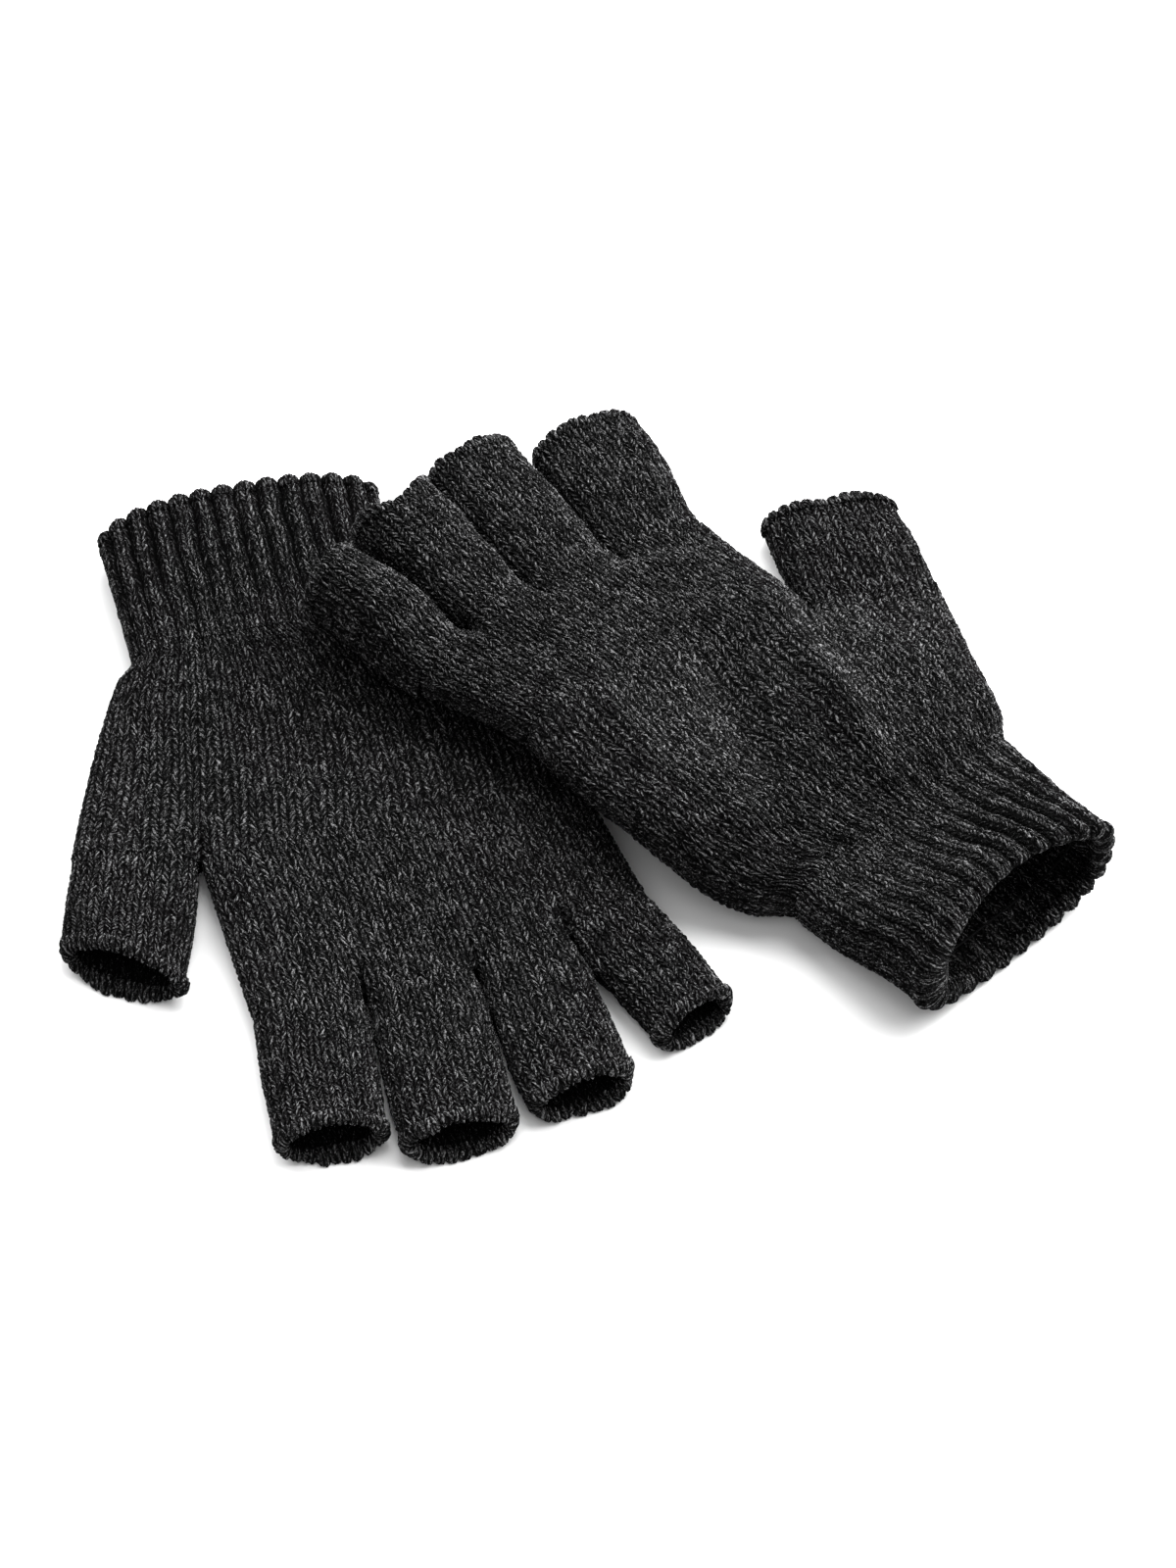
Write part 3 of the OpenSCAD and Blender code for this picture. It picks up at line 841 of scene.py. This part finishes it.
def cuff_warp(g, p):
    """Shapes the cuff's lip, top, bottom and corners."""
    x, y, z = p[..., 0], p[..., 1], p[..., 2]
    near = smooth((-y - CUFF_LIP_FROM) / (CUFF_LEN - CUFF_LIP_FROM))
    up = np.clip(z / g["mouth_h"], 0, 1)
    back, reach, corners = CUFF_LIP[g["name"]]
    side = 2 * x / g["mouth_w"]
    xi = np.clip(np.abs(side), 0, CUFF_WIDEST)
    pull = (1 - xi ** 2) * (back * up - reach * (1 - up)) + corners * xi ** CUFF_CORNER_POWER
    pull = pull - THUMB_LIP[g["name"]] * up * smooth((side - THUMB_LIP_FROM[0]) / THUMB_LIP_FROM[1])
    return np.stack([x, y + near * pull, z], -1)


def faint_ribs(g, u):
    """How faint the ribs are at u wales round, over the little finger's side and underneath."""
    t = u / CUFF_WALES - np.floor(u / CUFF_WALES)
    growing_full = 1 - smooth((t - FAINT_TOP[0]) / FAINT_TOP[1])
    growing_faint = smooth((t - FAINT_SIDE[0]) / FAINT_SIDE[1])
    left = np.where(t < UNDER_FROM, growing_full, growing_faint)
    under = smooth((t - UNDER_FROM) / UNDER_FADE) * smooth((1 - t) / UNDER_FADE)
    return np.maximum(RIB_FAINT[g["name"]] * left, RIB_UNDER * under)


def rib_depth(g, v, u):
    """Depth of a groove between ribs at v, from the wrist at 0 to the mouth at 1, and at u wales round."""
    near_mouth, near_wrist = RIB_DEPTH[g["name"]], WRIST_GROOVE
    depth = near_wrist + (near_mouth - near_wrist) * smooth(v * RIB_SPEED)
    uneven = 1 + RIB_UNEVEN * noise(u / RIB_WALES, v * 3, g["seed"] + 40, RIBS)
    return depth * uneven * (1 - faint_ribs(g, u))


def lip_thickness(g, u):
    """How thick the cuff's rolled lip is at u wales round, as a share of the welt."""
    side = 0.5 + 0.5 * np.cos(2 * math.pi * u / CUFF_WALES)
    low, high = LIP_BULGE[g["name"]]
    return LIP_THICK + low * side ** CORNER_POWER + high * (1 - side) ** CORNER_POWER


def cuff_rib(g):
    rows, courses = row_steps(RIB_LEN, CUFF_SAMPLES[1])
    cols = np.arange(0, CUFF_WALES, 1 / CUFF_SAMPLES[0])
    skin = np.zeros((len(rows), len(cols), 3))
    for i, r in enumerate(rows):
        v = 1 - r
        x, z = cuff_section(g, v, cols / CUFF_WALES)
        skin[i] = loop_at(x, -v * RIB_LEN - GAP / 2, z)
    skin = apply(cuff_matrix(g), cuff_warp(g, skin))
    u, v = grid_coords(rows * courses, cols, CUFF_WALES, g["seed"] + 3)
    grooves = rib_relief(u, rib_depth(g, (1 - rows)[:, None], u))
    stitches = stitch_relief(u, v, CUFF_WALES, g["seed"] + 3, STITCH_DEPTH * RIB_STITCHES)
    relief = stitches * (1 + RIB_TOP_STITCHES * grooves) + grooves
    return knit_mesh(g["name"] + "_cuff_rib_knit", [
        shell(skin, u, v, CUFF_WALES, relief, RIB_WALL, TUBE_LINING, grooves)
    ], groove_depths(grooves, TUBE_LINING))


def cuff_edge(g):
    samples, steps = WELT_SAMPLES
    cols = np.arange(0, CUFF_WALES, 1 / samples)
    x, z = cuff_section(g, 1, cols / CUFF_WALES)
    out = loop_normals(x, z)
    y = -CUFF_LEN - GAP / 2 + WELT_R
    u, v = np.meshgrid(cols, np.arange(steps) / steps, indexing="xy")
    thick = lip_thickness(g, cols)
    dip = -rib_relief(u, RIB_DEPTH[g["name"]] * (1 - faint_ribs(g, u)))
    inwards = WELT_R * thick + DIP_INWARDS * dip[0] - LIP_CURL
    centre = loop_at(x, y, z) - out * inwards[:, None]
    stitches = stitch_relief(u, v * WELT_COURSES, CUFF_WALES, g["seed"] + 9, WELT_STITCHES)
    radius = np.maximum(ROLL_LEAST, WELT_R * thick - DIP_THINNER * dip + stitches)
    reach = WELT_R * (LIP_REACH[0] + LIP_REACH[1] * thick) - DIP_SHORTER * dip
    free = np.maximum(ROLL_LEAST, reach + FREE_STITCHES * stitches)
    joined = np.full_like(radius, WELT_R + WELT_OVERLAP)
    p = rolled_ring(centre, out, radius, steps, free, joined, knit_side=1)
    p = apply(cuff_matrix(g), cuff_warp(g, p))
    # the dips' depth goes to the material as painted shade
    return knit_mesh(g["name"] + "_cuff_edge_knit", [(p, u, v * WELT_COURSES, CUFF_WALES)], DIP_PAINTED_SHADE * dip)


def cuff_elastic(g):
    points, steps = THREAD_SAMPLES
    cols = np.arange(0, points) / points
    grids = []
    for i in range(1, ELASTIC_RINGS + 1):
        v = i / (ELASTIC_RINGS + 1)
        inset = RIB_WALL + THREAD_GAP + THREAD_SPARE + ELASTIC_R
        x, z = cuff_section(g, v, cols, inset)
        out = loop_normals(x, z)
        y = -GAP - v * RIB_LEN + ELASTIC_R
        centre = loop_at(x, y, z)
        a, b = np.meshgrid(cols * WINDINGS, np.arange(steps) / steps, indexing="xy")
        radius = ELASTIC_R * (1 - WINDING_RELIEF + WINDING_RELIEF * np.sin(2 * math.pi * (a + b)))
        p = rolled_ring(centre, out, radius, steps)
        grids.append((apply(cuff_matrix(g), cuff_warp(g, p)), a, b, WINDINGS))
    return knit_mesh(g["name"] + "_cuff_elastic_thread", grids)


# ---- Materials ----

def node(tree, kind, **settings):
    n = tree.nodes.new(kind)
    for key, value in settings.items():
        setattr(n, key, value)
    return n


def feed(tree, source, target):
    if isinstance(source, (int, float)):
        target.default_value = source
    else:
        tree.links.new(source, target)


def maths(tree, operation, a, b=0.0):
    n = node(tree, "ShaderNodeMath", operation=operation)
    feed(tree, a, n.inputs[0])
    feed(tree, b, n.inputs[1])
    return n.outputs[0]


def vector(tree, x, y, z):
    n = node(tree, "ShaderNodeCombineXYZ")
    for source, target in zip((x, y, z), n.inputs):
        feed(tree, source, target)
    return n.outputs[0]


def noise_node(tree, place, scale, detail, rough=0.5):
    n = node(tree, "ShaderNodeTexNoise")
    n.inputs["Scale"].default_value = scale
    n.inputs["Detail"].default_value = detail
    n.inputs["Roughness"].default_value = rough
    tree.links.new(place, n.inputs["Vector"])
    return n.outputs["Fac"]


def ramp(tree, value, low, high):
    n = node(tree, "ShaderNodeMapRange", clamp=True, interpolation_type="SMOOTHSTEP")
    feed(tree, value, n.inputs["Value"])
    n.inputs["From Min"].default_value = low
    n.inputs["From Max"].default_value = high
    return n.outputs["Result"]


def clamped(tree, value):
    n = node(tree, "ShaderNodeClamp")
    feed(tree, value, n.inputs["Value"])
    return n.outputs["Result"]


def new_material(name, specular):
    mat = bpy.data.materials.new(name)
    mat.use_nodes = True
    shader = mat.node_tree.nodes["Principled BSDF"]
    shader.inputs["Specular IOR Level"].default_value = specular
    return mat, mat.node_tree, shader


def bumped(tree, shader, height, strength, distance):
    n = node(tree, "ShaderNodeBump")
    n.inputs["Strength"].default_value = strength
    n.inputs["Distance"].default_value = distance
    tree.links.new(height, n.inputs["Height"])
    tree.links.new(n.outputs["Normal"], shader.inputs["Normal"])


def knit_coords(tree):
    """Columns and rows of the knit, from the pieces' UV map."""
    uv = node(tree, "ShaderNodeUVMap", uv_map="knit")
    split = node(tree, "ShaderNodeSeparateXYZ")
    tree.links.new(uv.outputs[0], split.inputs[0])
    return split.outputs[0], split.outputs[1]


DARK, PALE = 0.0018, 0.20  # greys of the darkest yarn, painted shade included, and of the palest yarn
YARN_TINT = (1.0, 1.0, 1.015)
# Scales of the noises, a metre: the stitches' wandering, soft patches and stray fibres
WANDER_SCALE, PATCH_SCALE, FUZZ_SCALE = 620.0, 140.0, 2100.0
YARN_WANDER = (0.34, 1.1)  # how far the yarn's stitches wander, in columns and in rows
FIBRE_SCALE = (5.0, 2.8, 3.7)  # scale of the pale fibres across a leg, along it and from leg to leg
STRAY_FROM, STRAY_FULL = 0.56, 0.74
FIBRE_BUMP, STRAY_BUMP = 0.7, 0.35  # height of fibres, against a leg's own roundness


def yarn_material(name, base, inside=-0.30):
    """Marl yarn: dark fibres with pale ones among them, which run along each leg of each stitch, with
    painted shade between the legs, in grooves and on the lining. Its tone runs from DARK at 0 to PALE at 1
    in equal ratios. base is its tone in the middle of a leg, and inside is what is added to it on the
    lining; below zero it is painted shade inside the tube."""
    mat, tree, shader = new_material(name, specular=0.02)
    coords = node(tree, "ShaderNodeTexCoord")
    wander = node(tree, "ShaderNodeTexNoise")
    wander.inputs["Scale"].default_value = WANDER_SCALE
    wander.inputs["Detail"].default_value = 2.0
    tree.links.new(coords.outputs["Object"], wander.inputs["Vector"])
    sway = node(tree, "ShaderNodeSeparateXYZ")
    tree.links.new(wander.outputs["Color"], sway.inputs[0])

    def calc(operation, a, b=0.0):
        return maths(tree, operation, a, b)

    def more(tone, source, middle, strength):
        return calc("ADD", tone, calc("MULTIPLY", calc("SUBTRACT", source, middle), strength))

    def from_middle(share):
        return calc("SUBTRACT", calc("MULTIPLY", share, 2.0), 1.0)

    # the leg of a stitch that a point is on, with its places along it, out, and across it, rise
    columns_on, rows_on = knit_coords(tree)
    u = more(columns_on, sway.outputs[0], 0.5, YARN_WANDER[0])
    v = more(rows_on, sway.outputs[1], 0.5, YARN_WANDER[1])
    across = from_middle(calc("FRACT", u))
    out = calc("ABSOLUTE", across)
    leg = calc("ADD", calc("MULTIPLY", calc("FLOOR", u), 2.0), calc("GREATER_THAN", across, 0.0))
    rise = calc("SUBTRACT", v, calc("MULTIPLY", out, LEAN))
    turned = calc("ABSOLUTE", from_middle(calc("FRACT", rise)))
    ends = calc("ABSOLUTE", from_middle(out))

    # pale fibres, long in the direction of the leg
    places = [calc("MULTIPLY", part, scale) for part, scale in zip((rise, out, leg), FIBRE_SCALE)]
    fibre = noise_node(tree, vector(tree, *places), 1.0, 2.0, 0.6)
    # each leg has its own share of pale fibre
    own = node(tree, "ShaderNodeTexWhiteNoise", noise_dimensions="2D")
    tree.links.new(vector(tree, leg, calc("FLOOR", rise), 0.0), own.inputs["Vector"])
    # soft patches, a few stitches wide, and stray fibres that ignore the stitches
    patch = noise_node(tree, coords.outputs["Object"], PATCH_SCALE, 2.0)
    fuzz = noise_node(tree, coords.outputs["Object"], FUZZ_SCALE, 2.0, 0.7)
    stray = ramp(tree, fuzz, STRAY_FROM, STRAY_FULL)

    tone = base
    for source, strength in ((fibre, 3.0), (own.outputs["Value"], 0.30), (patch, 0.25), (fuzz, 2.3)):
        tone = more(tone, source, 0.5, strength)
    # stray fibres are paler; painted shade darkens the yarn where it turns down into the knit, most of all
    # between two columns
    groove = node(tree, "ShaderNodeAttribute", attribute_name="groove")
    for source, strength in (
        (stray, 0.15),
        (calc("POWER", turned, 2.5), -0.55),
        (calc("POWER", ends, 3.0), -0.70),
        # painted shade inside the tube, on the lining
        (calc("GREATER_THAN", v, INSIDE / 2), inside),
        # painted shade in the grooves between ribs, in the gaps behind them and in the lip's dips
        (groove.outputs["Fac"], -0.32),
    ):
        tone = more(tone, source, 0.0, strength)
    tone = clamped(tree, tone)
    shade = node(tree, "ShaderNodeVectorMath", operation="SCALE")
    shade.inputs[0].default_value = YARN_TINT
    tree.links.new(calc("MULTIPLY", calc("POWER", PALE / DARK, tone), DARK), shade.inputs["Scale"])
    tree.links.new(shade.outputs["Vector"], shader.inputs["Base Color"])

    # a leg is round, and its fibres stand up a little
    round_leg = calc("SUBTRACT", 1.0, calc("POWER", turned, 2.0))
    round_leg = calc("MULTIPLY", round_leg, calc("SUBTRACT", 1.0, calc("POWER", ends, 4.0)))
    fibres = calc("ADD", calc("MULTIPLY", fibre, FIBRE_BUMP), calc("MULTIPLY", stray, STRAY_BUMP))
    bumped(tree, shader, calc("ADD", fibres, round_leg), strength=0.7, distance=0.0005)
    tree.links.new(calc("SUBTRACT", 0.98, calc("MULTIPLY", tone, 0.12)), shader.inputs["Roughness"])
    return mat


THREAD_DARK = (0.0015, 0.0015, 0.0015, 1)
THREAD_PALE = (0.010, 0.010, 0.0105, 1)


def thread_material():
    """Fine black covering yarn, wound round the elastic."""
    mat, tree, shader = new_material("Elastic thread", specular=0.05)
    along, around = knit_coords(tree)
    wind = maths(tree, "ADD", maths(tree, "MULTIPLY", along, 2.0), around)
    band = ramp(tree, maths(tree, "FRACT", wind), 0.1, 0.9)
    coords = node(tree, "ShaderNodeTexCoord")
    lint = noise_node(tree, coords.outputs["Object"], 1800.0, 2.0)
    mix = node(tree, "ShaderNodeMix", data_type="RGBA", clamp_factor=True)
    tree.links.new(maths(tree, "MULTIPLY", band, lint), mix.inputs["Factor"])
    mix.inputs["A"].default_value = THREAD_DARK
    mix.inputs["B"].default_value = THREAD_PALE
    tree.links.new(mix.outputs["Result"], shader.inputs["Base Color"])
    bumped(tree, shader, band, strength=0.5, distance=0.0001)
    tree.links.new(maths(tree, "ADD", maths(tree, "MULTIPLY", lint, 0.3), 0.5), shader.inputs["Roughness"])
    return mat


MATERIALS = {
    "plain_knit": yarn_material("Plain knit", 0.485),
    "rib_knit": yarn_material("Rib knit", 0.54, inside=0.16),
    "curled_edge": yarn_material("Curled edge", 0.56),
    "turned_edge": yarn_material("Turned edge", 0.58),
    "elastic_thread": thread_material(),
}


# ---- Putting the pieces on their bodies ----

def dress(obj, cad_node, slot):
    obj.data.materials.append(MATERIALS[slot])
    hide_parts(cad_node)
    return obj


def build_glove(name):
    g = dict(GLOVES[name], name=name)
    hand = name + "_hand"
    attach(dress(palm(g), name + "_palm", "plain_knit"), hand)
    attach(dress(knuckles(g), name + "_knuckles", "plain_knit"), hand)
    for f, finger in enumerate(FINGERS):
        body = "%s_%s" % (name, finger)
        m = stall_matrix(g, f)
        tube = dress(stall(g, f), body, "plain_knit")
        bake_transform(tube)
        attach(dress(stall_edge(g, f), body + "_edge", "curled_edge"), body)
    rib = dress(cuff_rib(g), name + "_cuff_rib", "rib_knit")
    edge = dress(cuff_edge(g), name + "_cuff_edge", "turned_edge")
    thread = dress(cuff_elastic(g), name + "_cuff_elastic", "elastic_thread")
    if name == "upper":
        m = cuff_matrix(g)
        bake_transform(rib)
        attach(edge, "upper_cuff")
        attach(thread, "upper_cuff")
    else:
        for piece in (rib, edge, thread):
            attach(piece, hand)


# ---- Floor, light and camera ----

def floor():
    half = 3.0
    corners = [(-half, -half, 0), (half, -half, 0), (half, half, 0), (-half, half, 0)]
    mesh = bpy.data.meshes.new("Floor")
    mesh.from_pydata(corners, [], [(0, 1, 2, 3)])
    obj = bpy.data.objects.new("Floor", mesh)
    bpy.context.scene.collection.objects.link(obj)
    mat, _, shader = new_material("Floor", specular=0.1)
    shader.inputs["Base Color"].default_value = (0.92, 0.92, 0.92, 1)
    shader.inputs["Roughness"].default_value = 0.9
    mesh.materials.append(mat)


def sun_light(name, direction, softness, strength):
    """A broad soft light from that direction. softness is the angle that it fills, in degrees."""
    light = bpy.data.lights.new(name, "SUN")
    light.angle = math.radians(softness)
    light.energy = strength
    obj = bpy.data.objects.new(name, light)
    obj.rotation_euler = Vector(direction).to_track_quat("Z", "Y").to_euler()
    bpy.context.scene.collection.objects.link(obj)


def lights():
    world = bpy.data.worlds.new("Studio")
    world.use_nodes = True
    world.node_tree.nodes["Background"].inputs["Color"].default_value = (1, 1, 1, 1)
    world.node_tree.nodes["Background"].inputs["Strength"].default_value = 0.58
    bpy.context.scene.world = world
    sun_light("Key", (0.30, 0.80, 1.00), 52, 4.3)
    sun_light("Side", (1.00, 0.45, 0.55), 42, 3.2)
    sun_light("Rim", (0.75, 0.65, 0.12), 30, 6.5)
    sun_light("Back", (-0.60, 0.85, 0.60), 40, 3.0)


def camera():
    """At the photograph's viewing angle: 55 degrees above the table, square to the picture."""
    look_at, distance, elevation = (0.0002, 0.0017, 0.0), 1.5, 55
    cam = bpy.data.cameras.new("Camera")
    cam.lens = 141.75
    cam.sensor_width = 36
    obj = bpy.data.objects.new("Camera", cam)
    obj.location = (
        look_at[0],
        look_at[1] - distance * cos_d(elevation),
        look_at[2] + distance * sin_d(elevation),
    )
    obj.rotation_euler = (math.radians(90 - elevation), 0, 0)
    bpy.context.scene.collection.objects.link(obj)
    bpy.context.scene.camera = obj


bpy.context.scene.view_settings.view_transform = "Standard"
for glove_name in ("lower", "upper"):
    build_glove(glove_name)
floor()
lights()
camera()
